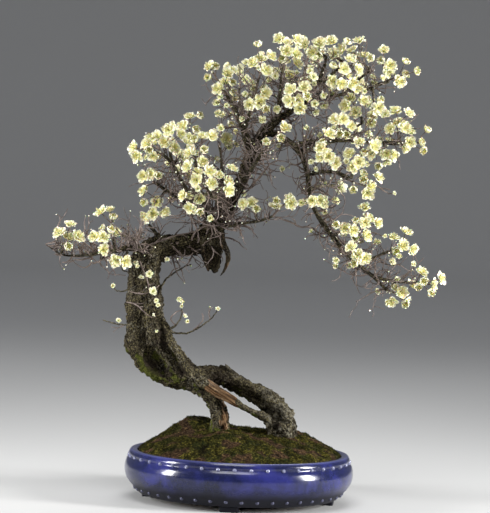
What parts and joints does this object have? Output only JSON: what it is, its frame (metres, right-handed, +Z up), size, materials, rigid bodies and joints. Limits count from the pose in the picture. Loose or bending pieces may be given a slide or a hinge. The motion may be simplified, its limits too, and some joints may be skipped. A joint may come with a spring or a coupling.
{
  "type": "japanese apricot bonsai",
  "caption": "Craggy leaning apricot bonsai in white double bloom, its crown cascading to one side, on a mossy mound in a round studded drum pot.",
  "frame": {"origin": "Middle of the bounding box's footprint, on the plane that the pot's feet rest on.", "axes": "+Z up. +Y away from the viewer, so that the front is towards -Y. +X to the viewer's right, the side that the crown cascades to."},
  "size_m": [0.692, 0.3994, 0.8205],
  "materials": {
    "pot_glaze": "glossy cobalt glaze",
    "screen_mesh": "matte",
    "soil": "granular, matte",
    "moss": "soft, matte",
    "wood": "rough bark with bare dead wood",
    "blossom": "soft petals on thin twigs"
  },
  "bodies": {
    "root": {"pot": "pot_glaze", "drain_screen_left": "screen_mesh", "drain_screen_right": "screen_mesh", "soil": "soil", "moss": "moss", "tree": "wood", "spray_01": "blossom", "spray_02": "blossom", "spray_03": "blossom", "spray_04": "blossom", "spray_05": "blossom", "spray_06": "blossom", "spray_07": "blossom", "spray_08": "blossom", "spray_09": "blossom", "spray_10": "blossom", "spray_11": "blossom", "spray_12": "blossom", "spray_13": "blossom", "spray_14": "blossom", "spray_15": "blossom", "spray_16": "blossom", "spray_17": "blossom", "spray_18": "blossom", "spray_19": "blossom", "spray_20": "blossom", "spray_21": "blossom", "spray_22": "blossom", "spray_23": "blossom", "spray_24": "blossom", "spray_25": "blossom", "spray_26": "blossom", "spray_27": "blossom", "spray_28": "blossom", "spray_29": "blossom", "spray_30": "blossom", "spray_31": "blossom", "spray_32": "blossom", "spray_33": "blossom", "spray_34": "blossom", "spray_35": "blossom", "spray_36": "blossom", "spray_37": "blossom", "spray_38": "blossom", "spray_39": "blossom", "spray_40": "blossom", "spray_41": "blossom", "spray_42": "blossom", "spray_43": "blossom", "spray_44": "blossom", "spray_45": "blossom", "spray_46": "blossom", "spray_47": "blossom", "spray_48": "blossom", "spray_49": "blossom", "spray_50": "blossom", "spray_51": "blossom", "spray_52": "blossom", "spray_53": "blossom", "spray_54": "blossom"}
  },
  "joints": []
}
